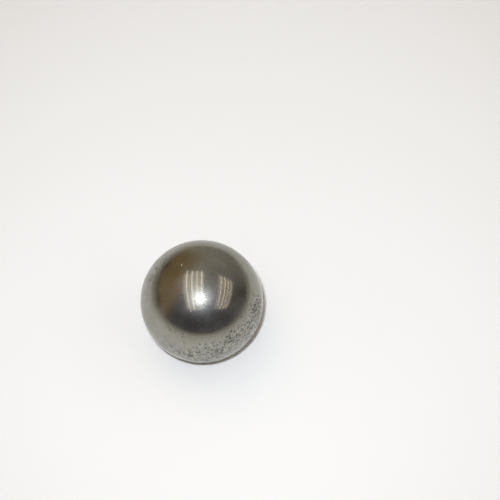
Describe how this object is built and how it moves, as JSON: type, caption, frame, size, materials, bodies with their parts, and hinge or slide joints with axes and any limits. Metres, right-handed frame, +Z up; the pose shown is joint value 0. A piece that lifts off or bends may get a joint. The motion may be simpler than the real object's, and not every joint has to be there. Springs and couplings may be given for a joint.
{
  "type": "steel ball",
  "caption": "Solid polished steel ball with a lightly pitted, used surface, for bearings, check valves, detents, tumbling and bench demonstrations.",
  "frame": {"origin": "centre of the ball", "axes": "+Z up, with the ball as it lies in the picture; -Y is the side towards the camera; every axis through the centre is an axis of symmetry of the solid"},
  "size_m": [0.0254, 0.0254, 0.0254],
  "materials": {
    "polished_steel": "bare bearing steel, ground and polished, slightly hazed by use, with a patch of fine dark corrosion pits on one side"
  },
  "bodies": {
    "root": {"steel_ball": "polished_steel"}
  },
  "joints": []
}
